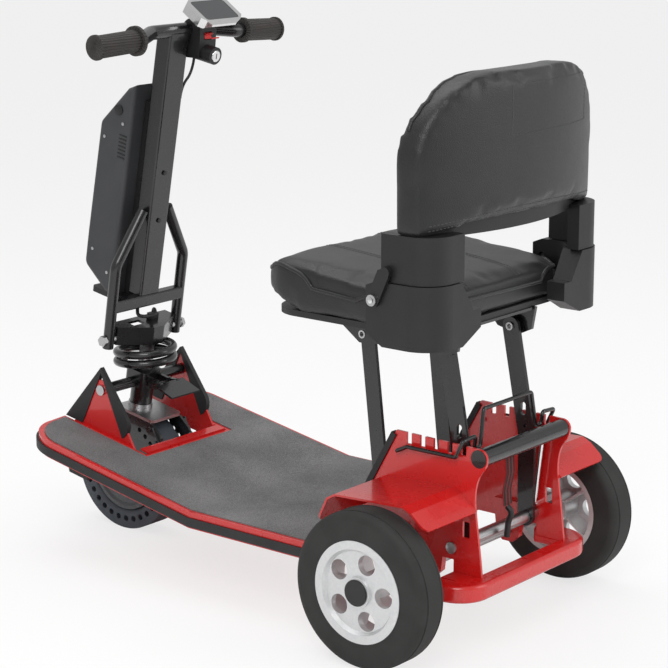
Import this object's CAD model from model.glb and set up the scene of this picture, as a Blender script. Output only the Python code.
import bpy
from math import cos, pi, radians, sin
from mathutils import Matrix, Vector


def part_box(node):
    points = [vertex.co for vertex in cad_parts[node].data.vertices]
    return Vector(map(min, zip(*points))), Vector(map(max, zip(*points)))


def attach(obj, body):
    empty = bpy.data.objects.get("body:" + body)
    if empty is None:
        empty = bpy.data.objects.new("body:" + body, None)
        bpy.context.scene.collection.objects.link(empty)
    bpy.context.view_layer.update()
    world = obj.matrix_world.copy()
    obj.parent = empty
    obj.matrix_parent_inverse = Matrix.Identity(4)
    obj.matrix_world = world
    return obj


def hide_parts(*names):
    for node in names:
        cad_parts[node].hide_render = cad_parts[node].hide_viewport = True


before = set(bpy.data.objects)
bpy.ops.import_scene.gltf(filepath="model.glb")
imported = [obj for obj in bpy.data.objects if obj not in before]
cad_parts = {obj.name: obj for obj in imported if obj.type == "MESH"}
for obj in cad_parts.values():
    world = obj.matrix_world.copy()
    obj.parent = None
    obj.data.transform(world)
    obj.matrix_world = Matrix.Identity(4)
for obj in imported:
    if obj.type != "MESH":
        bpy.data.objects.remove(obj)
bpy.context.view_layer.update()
bpy.ops.object.select_all(action="DESELECT")
scene = bpy.context.scene

# ---- Stage: a pale matt floor that is lifted towards white where the camera sees it, soft
# lamps from above and both sides, and the camera, which looks forward and down over the
# scooter's rear left corner.
DOME_STRENGTH = 0.55
FLOOR_GLOW = 0.72
FLOOR_SIZE = 60
WHITE = (1, 1, 1, 1)
scene.view_settings.view_transform = "Standard"
world = bpy.data.worlds.new("studio")
world.use_nodes = True
scene.world = world
sky = world.node_tree
ray = sky.nodes.new("ShaderNodeLightPath")
blank = sky.nodes.new("ShaderNodeBackground")
blank.inputs["Color"].default_value = WHITE
blank.inputs["Strength"].default_value = 1.0
dome = sky.nodes["Background"]
dome.inputs["Color"].default_value = WHITE
dome.inputs["Strength"].default_value = DOME_STRENGTH
choose = sky.nodes.new("ShaderNodeMixShader")
sky.links.new(ray.outputs["Is Camera Ray"], choose.inputs["Fac"])
sky.links.new(dome.outputs["Background"], choose.inputs[1])
sky.links.new(blank.outputs["Background"], choose.inputs[2])
sky.links.new(choose.outputs["Shader"], sky.nodes["World Output"].inputs["Surface"])


def lamp(name, place, aim, size, power):
    """A square soft lamp at place, turned towards aim."""
    light = bpy.data.lights.new(name, "AREA")
    light.size = size
    light.energy = power
    holder = bpy.data.objects.new(name, light)
    holder.location = place
    holder.rotation_euler = (Vector(aim) - Vector(place)).to_track_quat("-Z", "Y").to_euler()
    scene.collection.objects.link(holder)


MIDDLE = (0, 0, 0.45)
lamp("key_lamp", (-1.6, 2.6, 2.6), MIDDLE, 1.8, 50)
lamp("fill_lamp", (-2.6, -1.2, 1.6), MIDDLE, 1.8, 22)
lamp("top_lamp", (0.6, 0, 3.0), MIDDLE, 2.2, 30)

bpy.ops.mesh.primitive_plane_add(size=FLOOR_SIZE, location=(0, 0, 0))
floor = bpy.context.object
floor.name = "floor"
plaster = bpy.data.materials.new("floor_white")
plaster.use_nodes = True
sheet = plaster.node_tree
matt = sheet.nodes["Principled BSDF"]
matt.inputs["Base Color"].default_value = (0.95, 0.95, 0.95, 1)
matt.inputs["Roughness"].default_value = 0.95
glow = sheet.nodes.new("ShaderNodeEmission")
seen = sheet.nodes.new("ShaderNodeLightPath")
blend = sheet.nodes.new("ShaderNodeMixShader")
share = sheet.nodes.new("ShaderNodeMath")
share.operation = "MULTIPLY"
share.inputs[1].default_value = FLOOR_GLOW
sheet.links.new(seen.outputs["Is Camera Ray"], share.inputs[0])
sheet.links.new(share.outputs[0], blend.inputs["Fac"])
sheet.links.new(matt.outputs["BSDF"], blend.inputs[1])
sheet.links.new(glow.outputs["Emission"], blend.inputs[2])
sheet.links.new(blend.outputs["Shader"], sheet.nodes["Material Output"].inputs["Surface"])
floor.data.materials.append(plaster)

camera_data = bpy.data.cameras.new("camera")
camera_data.sensor_width = 36
camera_data.lens = 115.8
camera = bpy.data.objects.new("camera", camera_data)
camera.location = (-2.089, 2.468, 1.138)
YAW, PITCH = radians(-50.86), radians(-13.18)
looking = Vector((cos(YAW) * cos(PITCH), sin(YAW) * cos(PITCH), sin(PITCH)))
camera.rotation_euler = looking.to_track_quat("-Z", "Y").to_euler()
scene.collection.objects.link(camera)
scene.camera = camera


# ---- Red sheet steel: the deck tray, tower plates, side frames, fenders and rear bumper are
# cut and folded, then sprayed with gloss paint under a clear coat. A shade wraps a socket, so
# that the maths of a finish reads as sums and products.
COAT_ROUGHNESS = 0.05
PEEL = 0.00004


class Shade:
    """One output socket of a material's node tree."""

    def __init__(self, tree, socket):
        self.tree = tree
        self.socket = socket

    def node(self, kind, settings, inputs, out=0):
        """Any node: its type, its settings, what feeds its sockets, and which output."""
        made = self.tree.nodes.new("ShaderNode" + kind)
        for name, value in settings.items():
            setattr(made, name, value)
        for name, value in inputs.items():
            if isinstance(value, Shade):
                self.tree.links.new(value.socket, made.inputs[name])
            else:
                made.inputs[name].default_value = value
        return Shade(self.tree, made.outputs[out])

    def maths(self, operation, *values):
        return self.node("Math", {"operation": operation}, dict(enumerate(values)))

    def __add__(self, other):
        return self.maths("ADD", self, other)

    __radd__ = __add__

    def __mul__(self, other):
        return self.maths("MULTIPLY", self, other)

    __rmul__ = __mul__

    def __sub__(self, other):
        return self.maths("SUBTRACT", self, other)

    def __rsub__(self, other):
        return self.maths("SUBTRACT", other, self)

    def above(self, level, soft):
        """0 below level and 1 above it, over a soft step."""
        return self.node("MapRange", {"interpolation_type": "SMOOTHSTEP"},
                         {"Value": self, "From Min": level - soft, "From Max": level + soft})

    def noise(self, scale, detail=3.0):
        """Cloudy pattern, scale in waves a metre."""
        return self.node("TexNoise", {}, {"Vector": self, "Scale": scale, "Detail": detail})

    def cells(self, scale):
        """Distance to the nearest of many scattered points."""
        return self.node("TexVoronoi", {}, {"Vector": self, "Scale": scale})

    def axes(self):
        """The three coordinates of a place."""
        split = self.node("SeparateXYZ", {}, {"Vector": self})
        outputs = split.socket.node.outputs
        return [Shade(self.tree, outputs[i]) for i in range(3)]

    def between(self, low, high):
        """Colour from low to high as this value goes from 0 to 1."""
        return self.node("Mix", {"data_type": "RGBA"},
                         {0: self, 6: (*low, 1), 7: (*high, 1)}, out=2)


def surface(name, pattern, metallic=0.0, coat=0.0, sheen=0.0, specular=0.5):
    """A material whose pattern function gives colour, roughness, height and depth."""
    made = bpy.data.materials.new(name)
    made.use_nodes = True
    tree = made.node_tree
    shader = tree.nodes["Principled BSDF"]
    shader.inputs["Metallic"].default_value = metallic
    shader.inputs["Coat Weight"].default_value = coat
    shader.inputs["Coat Roughness"].default_value = COAT_ROUGHNESS
    shader.inputs["Sheen Weight"].default_value = sheen
    shader.inputs["Specular IOR Level"].default_value = specular
    place = Shade(tree, tree.nodes.new("ShaderNodeTexCoord").outputs["Object"])
    colour, roughness, height, depth = pattern(place)
    tree.links.new(colour.socket, shader.inputs["Base Color"])
    tree.links.new(roughness.socket, shader.inputs["Roughness"])
    bump = place.node("Bump", {}, {"Height": height, "Distance": depth, "Strength": 1.0})
    tree.links.new(bump.socket, shader.inputs["Normal"])
    return made


def finish(material, *nodes):
    """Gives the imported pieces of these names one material."""
    for node in nodes:
        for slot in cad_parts[node].material_slots:
            slot.material = material


def paint(dark, light):
    """Sprayed gloss paint with a faint orange peel and rubbed patches."""
    def pattern(place):
        rub = place.noise(14)
        return (rub.between(dark, light), place.noise(40) * 0.16 + 0.2, place.noise(420), PEEL)
    return pattern


red = surface("red_gloss", paint((0.56, 0.008, 0.008), (0.64, 0.014, 0.012)), coat=0.6)
finish(red, "deck_tray", "tower_plates", "side_frames", "fenders", "rear_bumper")

# ---- Black steel: the tubes, bars, legs and fork parts that carry the tiller and the seat, bent
# or cut from bar and sprayed with gloss black.
black = surface("black_gloss", paint((0.004, 0.004, 0.005), (0.010, 0.010, 0.011)), coat=0.5)
finish(black, "head_tube", "crossbar", "fork_cheeks", "fork_links", "head_spring", "hinge_bracket",
       "yoke_frame", "mast", "handlebar", "rear_legs", "front_legs", "seat_rails", "lock_bail",
       "release_pedal")

# ---- Mouldings: black plastic housings, the seat shell and sockets, rubber edging and feet, the
# grey battery case and the red rocker, all moulded with a fine grain.
GRAIN_DEPTH = 0.00006


def moulded(dark, light, rough):
    """Moulded plastic or rubber with a fine spark-eroded grain."""
    def pattern(place):
        cloud = place.noise(18)
        return (cloud.between(dark, light), place.noise(60) * 0.15 + rough,
                place.noise(900, 5), GRAIN_DEPTH)
    return pattern


satin_black = surface("black_moulded", moulded((0.007, 0.007, 0.008), (0.015, 0.015, 0.016), 0.36))
edging = surface("black_edging", moulded((0.01, 0.01, 0.011), (0.022, 0.022, 0.024), 0.5))
case_grey = surface("battery_case", moulded((0.03, 0.031, 0.034), (0.055, 0.057, 0.061), 0.42))
red_plastic = surface("red_plastic", moulded((0.55, 0.01, 0.01), (0.66, 0.02, 0.02), 0.25))
finish(satin_black, "strap_hook", "cable_plug", "switch_pod", "battery_rail", "seat_shell",
       "backrest_sockets", "backrest_frame", "hub_cap_left", "hub_cap_right")
finish(edging, "deck_bumper", "deck_feet", "edge_trims", "cables")
finish(case_grey, "battery_pack")
finish(red_plastic, "rocker_switch")

# ---- Bare metal: cast silver rims, bright steel axles, pins and bolts, the chromed stay, display
# case and key lock, and the dark casting of the hub motor.
POLISH_DEPTH = 0.00002


def metal(dark, light, rough):
    """Bright metal with a fine, even mottle."""
    def pattern(place):
        return (place.noise(240).between(dark, light), place.noise(300) * 0.18 + rough,
                place.noise(500), POLISH_DEPTH)
    return pattern


rim_silver = surface("rim_silver", metal((0.60, 0.61, 0.63), (0.74, 0.74, 0.73), 0.28), 0.55)
steel = surface("bright_steel", metal((0.42, 0.42, 0.43), (0.62, 0.62, 0.62), 0.22), 1.0)
chrome = surface("chrome", metal((0.72, 0.72, 0.73), (0.84, 0.84, 0.84), 0.05), 1.0)
motor_cast = surface("motor_cast", metal((0.07, 0.075, 0.08), (0.13, 0.135, 0.14), 0.35), 0.6)
finish(rim_silver, "rear_rim_left", "rear_rim_right")
finish(steel, "rear_axle", "tower_bolts", "seat_pivots", "steering_stem", "front_axle",
       "tiller_pin", "seat_pins", "backrest_bolts", "wheel_bearings_left", "wheel_bearings_right")
finish(chrome, "back_stay", "display_case", "key_lock")
finish(motor_cast, "hub_motor")


# ---- Tyres: black rubber at the rear, and a paler blue-grey solid tyre at the front.
def tread(dark, light):
    """Tyre rubber, dusty on the shoulders, with a fine moulding grain."""
    def pattern(place):
        dust = place.noise(26, 5)
        return (dust.above(0.5, 0.3).between(dark, light), dust * 0.2 + 0.6,
                place.noise(700, 4), 0.00012)
    return pattern


rear_rubber = surface("rear_tyre", tread((0.012, 0.012, 0.011), (0.026, 0.026, 0.025)))
front_rubber = surface("front_tyre", tread((0.05, 0.062, 0.075), (0.085, 0.10, 0.115)))
finish(rear_rubber, "rear_tyre_left", "rear_tyre_right")
finish(front_rubber, "front_tyre")


# ---- Deck mat: a sheet of coarse grit glued to the tray.
def grit(place):
    """Grey anti-slip mat: coarse sandpaper speckle, scuffed paler in places."""
    speck = place.cells(520)
    fine = place.noise(900, 6)
    light = (fine * 0.7 + place.noise(9) * 0.5 - speck * 0.25)
    colour = light.above(0.5, 0.35).between((0.085, 0.083, 0.084), (0.29, 0.285, 0.287))
    return colour, place.noise(50) * 0.1 + 0.72, fine - speck * 0.6, 0.0009


finish(surface("mat_grit", grit, specular=0.3), "deck_mat")

# ---- Grips: rubber sleeves pushed over the handlebar's ends, each with ribs all round.
GRIP_RIBS = 26


def fluted(middle):
    """Grip rubber with ribs that run along a bar through middle, across the scooter."""
    def pattern(place):
        x, _, z = place.axes()
        around = place.maths("ARCTAN2", z - middle[2], x - middle[0])
        rib = place.maths("SINE", around * GRIP_RIBS)
        worn = place.noise(40)
        return (worn.between((0.018, 0.016, 0.015), (0.05, 0.043, 0.038)), worn * 0.2 + 0.5,
                rib + place.noise(800) * 0.3, 0.0007)
    return pattern


for hand, node in (("left", "grip_left"), ("right", "throttle_grip")):
    grip_low, grip_high = (Vector(corner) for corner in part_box(node))
    finish(surface(f"{hand}_grip_flutes", fluted((grip_low + grip_high) / 2)), node)


# ---- Carry strap: a woven band of dark and red thread, hung at the rear of the frame.
def webbing(place):
    """Woven strap: two crossed sets of fine threads, with dark and red stripes."""
    _, y, z = place.axes()
    weave = place.maths("SINE", z * 5200) * place.maths("SINE", y * 5200)
    stripe = place.maths("SINE", y * 800).above(0.4, 0.05)
    colour = stripe.between((0.02, 0.02, 0.02), (0.35, 0.03, 0.03))
    return colour, weave * 0.1 + 0.75, weave, 0.0004


finish(surface("strap_weave", webbing), "carry_strap")


# ---- Display window: a dark clear-coated sheet set in the chromed case.
def screen(place):
    """Dark glossy display window with a faint uneven film."""
    film = place.noise(20)
    return film.between((0.006, 0.008, 0.01), (0.014, 0.017, 0.02)), film * 0.06 + 0.06, film, 0.0


finish(surface("display_window", screen, coat=1.0), "display_glass")


# ---- Seat cushion and backrest cover: foam sewn into black vinyl. Each swells a little
# between its seams, so its shape is blown up in the cloth solver and held close to the foam.
VOXEL = 0.006
PRESSURE = 4.0
STEPS = 20


def vinyl(place):
    """Black grained vinyl: pebbles with fine creases between them."""
    pebble = place.cells(640)
    crease = place.noise(30, 4)
    colour = crease.between((0.005, 0.005, 0.006), (0.014, 0.014, 0.015))
    return colour, pebble * 0.14 + crease * 0.12 + 0.26, pebble + crease * 0.6, 0.00025


seat_vinyl = surface("seat_vinyl", vinyl, sheen=0.1)
finish(seat_vinyl, "seat_cushion", "backrest_cover")


def puffed(name, node, body, cap):
    """A soft copy of a foam solid, swollen by at most cap, that stands for it."""
    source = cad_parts[node]
    piece = bpy.data.objects.new(name, source.data.copy())
    scene.collection.objects.link(piece)
    bpy.ops.object.select_all(action="DESELECT")
    bpy.context.view_layer.objects.active = piece
    piece.select_set(True)
    skin = piece.modifiers.new("skin", "REMESH")
    skin.mode = "VOXEL"
    skin.voxel_size = VOXEL
    bpy.ops.object.modifier_apply(modifier=skin.name)
    even = piece.modifiers.new("even", "SMOOTH")
    even.factor = 0.5
    even.iterations = 6
    bpy.ops.object.modifier_apply(modifier=even.name)
    start = [point.co.copy() for point in piece.data.vertices]
    cloth = piece.modifiers.new("swell", "CLOTH")
    cloth.settings.use_pressure = True
    cloth.settings.uniform_pressure_force = PRESSURE
    cloth.settings.effector_weights.gravity = 0.0
    for step in range(1, STEPS + 1):
        scene.frame_set(step)
    swollen = piece.evaluated_get(bpy.context.evaluated_depsgraph_get()).data
    moves = [after.co - before for after, before in zip(swollen.vertices, start)]
    piece.modifiers.remove(cloth)
    scene.frame_set(1)
    for point, before, move in zip(piece.data.vertices, start, moves):
        point.co = before + move * min(1.0, cap / max(move.length, 1e-9))
    round_off = piece.modifiers.new("round_off", "SUBSURF")
    round_off.levels = 1
    round_off.render_levels = 1
    bpy.ops.object.modifier_apply(modifier=round_off.name)
    bpy.ops.object.shade_smooth()
    piece.data.materials.clear()
    piece.data.materials.append(seat_vinyl)
    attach(piece, body)
    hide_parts(node)
    return piece


cushion = puffed("seat_pad", "seat_cushion", "seat", cap=0.007)
cover = puffed("backrest_pad", "backrest_cover", "backrest", cap=0.006)


# ---- Piping and stitching: a vinyl-covered cord along the seat's top edge, and sewn seams in
# dark thread. Every line is laid on the swollen surface, from CLEAR outside it.
CLEAR = 0.1
STITCH = 0.0042
GAP = 0.0012
THREAD = 0.0006


def laid(pad, points, direction):
    """Where lines from each point along direction meet the pad."""
    found = []
    for point in points:
        hit, place = pad.ray_cast(Vector(point), Vector(direction))[:2]
        if hit:
            found.append(place)
    return found


def thread(name, runs, radius, closed, body, material):
    """Round cord or stitches: one tube along each run of points."""
    line = bpy.data.curves.new(name, "CURVE")
    line.dimensions = "3D"
    line.bevel_depth = radius
    line.bevel_resolution = 3
    line.use_fill_caps = True
    for run in runs:
        spline = line.splines.new("POLY")
        spline.points.add(len(run) - 1)
        spline.use_cyclic_u = closed
        for point, place in zip(spline.points, run):
            point.co = (*place, 1)
    shown = bpy.data.objects.new(name, line)
    scene.collection.objects.link(shown)
    bpy.ops.object.select_all(action="DESELECT")
    bpy.context.view_layer.objects.active = shown
    shown.select_set(True)
    bpy.ops.object.convert(target="MESH")
    piece = bpy.context.object
    bpy.ops.object.shade_smooth()
    piece.data.materials.clear()
    piece.data.materials.append(material)
    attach(piece, body)


def stitches(run):
    """Cuts a run of closely spaced points into stitches."""
    cut = []
    current = [run[0]]
    walked = 0.0
    for here, there in zip(run, run[1:]):
        walked += (there - here).length
        if walked < STITCH:
            current.append(there)
        elif walked > STITCH + GAP:
            if len(current) > 1:
                cut.append(current)
            current = [there]
            walked = 0.0
    return cut


bpy.context.view_layer.update()
thread_grey = surface("thread", moulded((0.05, 0.05, 0.05), (0.09, 0.09, 0.09), 0.6))
low, high = (Vector(corner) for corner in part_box("seat_cushion"))
mid = (low + high) / 2
INSET = 0.006
POWER = 7.0
RING_POINTS = 240
half_x = (high.x - low.x) / 2 - INSET
half_y = (high.y - low.y) / 2 - INSET
ring = []
for i in range(RING_POINTS):
    turn = 2 * pi * i / RING_POINTS
    c, s = cos(turn), sin(turn)
    reach = (abs(c) ** POWER + abs(s) ** POWER) ** (-1 / POWER)
    ring.append((mid.x + half_x * c * reach, mid.y + half_y * s * reach, high.z + CLEAR))
thread("seat_piping", [laid(cushion, ring, (0, 0, -1))], 0.0032, True, "seat", seat_vinyl)
SEAM_OUT = 0.062
SEAM_SPLIT = 0.0035
seams = []
for side in (-1, 1):
    for offset in (-SEAM_SPLIT, SEAM_SPLIT):
        across = side * SEAM_OUT + offset
        line = [(low.x + 0.012 + (high.x - low.x - 0.03) * i / 400, across, high.z + CLEAR)
                for i in range(401)]
        seams += stitches(laid(cushion, line, (0, 0, -1)))
thread("seat_stitching", seams, THREAD, False, "seat", thread_grey)

# The backrest's back carries a sewn rectangle, a double hem and two snaps.
back_low, back_high = (Vector(corner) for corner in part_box("backrest_cover"))
behind = back_low.x - CLEAR


def along(corners, count):
    """Evenly spaced points on straight runs between corners, seen from behind."""
    points = []
    for (y0, z0), (y1, z1) in zip(corners, corners[1:]):
        points += [(behind, y0 + (y1 - y0) * i / count, z0 + (z1 - z0) * i / count)
                   for i in range(count)]
    return points


PATCH = [(-0.15, 0.735), (-0.15, 0.803), (0.06, 0.803), (0.06, 0.735), (-0.15, 0.735)]
HEM_RISE = 0.014
HEM_REACH = 0.214
back_seams = stitches(laid(cover, along(PATCH, 130), (1, 0, 0)))
for lift in (0.009, 0.016):
    hem = []
    for i in range(501):
        y = -0.2 + 0.4 * i / 500
        hem.append((behind, y, back_low.z + HEM_RISE * (1 - (y / HEM_REACH) ** 2) + lift))
    back_seams += stitches(laid(cover, hem, (1, 0, 0)))
thread("backrest_stitching", back_seams, THREAD, False, "backrest", thread_grey)


# Its front is piped just inside an arched outline: flat in the middle, and rounding down past
# FLAT_HALF to the sides.
EDGE_HALF = 0.209
EDGE_STEPS = 60
FLAT_HALF = 0.086
ROUND_WIDTH = 0.128
ARCH_FOOT, ARCH_RISE, ARCH_POWER = 0.700, 0.122, 2.2
PIPING_DROP = 0.004
front_edge = []
for i in range(EDGE_STEPS + 1):
    y = EDGE_HALF - 2 * EDGE_HALF * i / EDGE_STEPS
    inside = min(1.0, max(0.0, (abs(y) - FLAT_HALF) / ROUND_WIDTH))
    z = ARCH_FOOT + ARCH_RISE * (1 - inside ** ARCH_POWER) ** 0.5 - PIPING_DROP
    front_edge.append((back_high.x + CLEAR, y, z))
thread("backrest_piping", [laid(cover, front_edge, (-1, 0, 0))], 0.003, False, "backrest",
       seat_vinyl)


# ---- Small fittings: screws, snaps and the charge port, each a turned or pressed piece that
# is set on the face it belongs to.
def button(name, place, out, radius, height, recess, material, body):
    """A round head with a bevelled rim and a sunk middle, standing on place towards out."""
    bpy.ops.object.select_all(action="DESELECT")
    way = Vector(out).normalized()
    bpy.ops.mesh.primitive_cylinder_add(
        vertices=32, radius=radius, depth=height, location=Vector(place) + way * height / 2,
        rotation=way.to_track_quat("Z", "Y").to_euler())
    piece = bpy.context.object
    piece.name = name
    bpy.ops.object.transform_apply(location=True, rotation=True, scale=True)
    for face in piece.data.polygons:
        face.select = face.normal.dot(way) > 0.99
    bpy.ops.object.mode_set(mode="EDIT")
    bpy.ops.mesh.inset(thickness=radius * 0.18)
    bpy.ops.mesh.inset(thickness=radius * 0.30)
    bpy.ops.mesh.inset(thickness=radius * 0.06, depth=-recess)
    bpy.ops.object.mode_set(mode="OBJECT")
    rim = piece.modifiers.new("rim", "BEVEL")
    rim.width = height * 0.2
    rim.segments = 2
    rim.limit_method = "ANGLE"
    bpy.ops.object.modifier_apply(modifier=rim.name)
    bpy.ops.object.shade_smooth_by_angle(angle=radians(35))
    piece.data.materials.append(material)
    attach(piece, body)


for number, (y, z) in enumerate(((0.061, 0.623), (-0.073, 0.621))):
    spot = laid(cover, [(behind, y, z)], (1, 0, 0))
    if spot:
        button(f"snap_{number}", spot[0] + Vector((0.0005, 0, 0)), (-1, 0, 0), 0.0075, 0.003,
               0.0012, satin_black, "backrest")

LEAN = radians(10.3)
FRONT_AXLE = Vector((0.3536, 0, 0.1025))


def head(u, v, w):
    """Point in the steering head's axes: forward, left and up the steering axis."""
    return Vector((FRONT_AXLE.x + u * cos(LEAN) - w * sin(LEAN), v,
                   FRONT_AXLE.z + u * sin(LEAN) + w * cos(LEAN)))


for hand, side in (("left", 1), ("right", -1)):
    for number, (u, w) in enumerate(((0.066, 0.33), (0.066, 0.58), (0.103, 0.36), (0.103, 0.55))):
        button(f"battery_screw_{hand}_{number}", head(u, side * 0.0447, w), (0, side, 0), 0.004,
               0.0018, 0.0012, steel, "tiller")
button("charge_port", head(0.078, 0.0447, 0.60), (0, 1, 0), 0.011, 0.0035, 0.0022, satin_black,
       "tiller")
for hand, side in (("left", 1), ("right", -1)):
    hanger = (-0.328, side * 0.2258, 0.517)
    button(f"backrest_screw_{hand}", hanger, (0, side, 0), 0.0055, 0.0022, 0.0016, chrome,
           "backrest")
    button(f"hub_screw_{hand}", (-0.342, side * 0.2745, 0.114), (0, side, 0), 0.006, 0.0014,
           0.001, steel, f"rear_wheel_{hand}")

# Two cap screws hold the battery rail through the back of the mast, a bolt holds each leg's
# knee, and a steel ring stands round each end of the legs' lower pivots.
for number, w in enumerate((0.43, 0.51)):
    button(f"mast_screw_{number}", head(0.0073, 0.0, w), (-cos(LEAN), 0, -sin(LEAN)), 0.0065,
           0.004, 0.0025, satin_black, "tiller")
for hand, side in (("left", 1), ("right", -1)):
    button(f"knee_bolt_{hand}", (-0.381, side * 0.083, 0.284), (0, side, 0), 0.006, 0.003, 0.002,
           steel, "rear_links")
    for number, x in enumerate((-0.384, -0.243)):
        button(f"pivot_ring_{hand}_{number}", (x, side * 0.109, 0.145 - 0.002 * number),
               (0, side, 0), 0.0105, 0.002, 0.0016, steel, "chassis")

# Vent grille on the battery's left side: a row of thin ribs moulded on its face.
VENT_PITCH = 0.006
for number in range(7):
    bpy.ops.object.select_all(action="DESELECT")
    bpy.ops.mesh.primitive_cube_add(size=1, location=head(0.063, 0.0452, 0.525 + VENT_PITCH * number),
                                    rotation=(0, -LEAN, 0), scale=(0.016, 0.0016, 0.0026))
    rib = bpy.context.object
    rib.name = f"vent_rib_{number}"
    bpy.ops.object.transform_apply(location=True, rotation=True, scale=True)
    soft = rib.modifiers.new("soft", "BEVEL")
    soft.width = 0.0006
    soft.segments = 2
    bpy.ops.object.modifier_apply(modifier=soft.name)
    bpy.ops.object.shade_smooth_by_angle(angle=radians(35))
    rib.data.materials.append(satin_black)
    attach(rib, "tiller")

# ---- Leads: rubber-sheathed cables, one in a loose loop from the mast's foot to the bracket's
# plug, and a thin one from the switch housing down the mast's right side.
def lead(name, route, radius, body):
    """A cable along route, given in millimetres in the steering head's axes."""
    line = bpy.data.curves.new(name, "CURVE")
    line.dimensions = "3D"
    spline = line.splines.new("NURBS")
    spline.points.add(len(route) - 1)
    for point, (u, v, w) in zip(spline.points, route):
        point.co = (*head(u / 1000, v / 1000, w / 1000), 1)
    spline.order_u = 3
    spline.use_endpoint_u = True
    spline.resolution_u = 12
    piece = bpy.data.objects.new(name, line)
    scene.collection.objects.link(piece)
    bare = bpy.data.meshes.new_from_object(piece)
    bpy.data.meshes.remove(bare)
    line.bevel_depth = radius
    line.bevel_resolution = 4
    line.use_fill_caps = True
    line.materials.append(edging)
    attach(piece, body)
    return piece


BAR_W = 740.5
main_lead = lead("main_lead", [(28.5, 4, 312), (28.5, 4, 270), (6, 22, 268), (-14, 2, 274),
                               (12, -18, 277), (12, -18, 268.2)], 0.003, "tiller")
lead("display_lead", [(14, -46, BAR_W - 44.4), (14, -46, BAR_W - 70), (16, -26.6, BAR_W - 92),
                      (16, -26.6, BAR_W - 112)], 0.0022, "tiller")
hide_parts("cables")
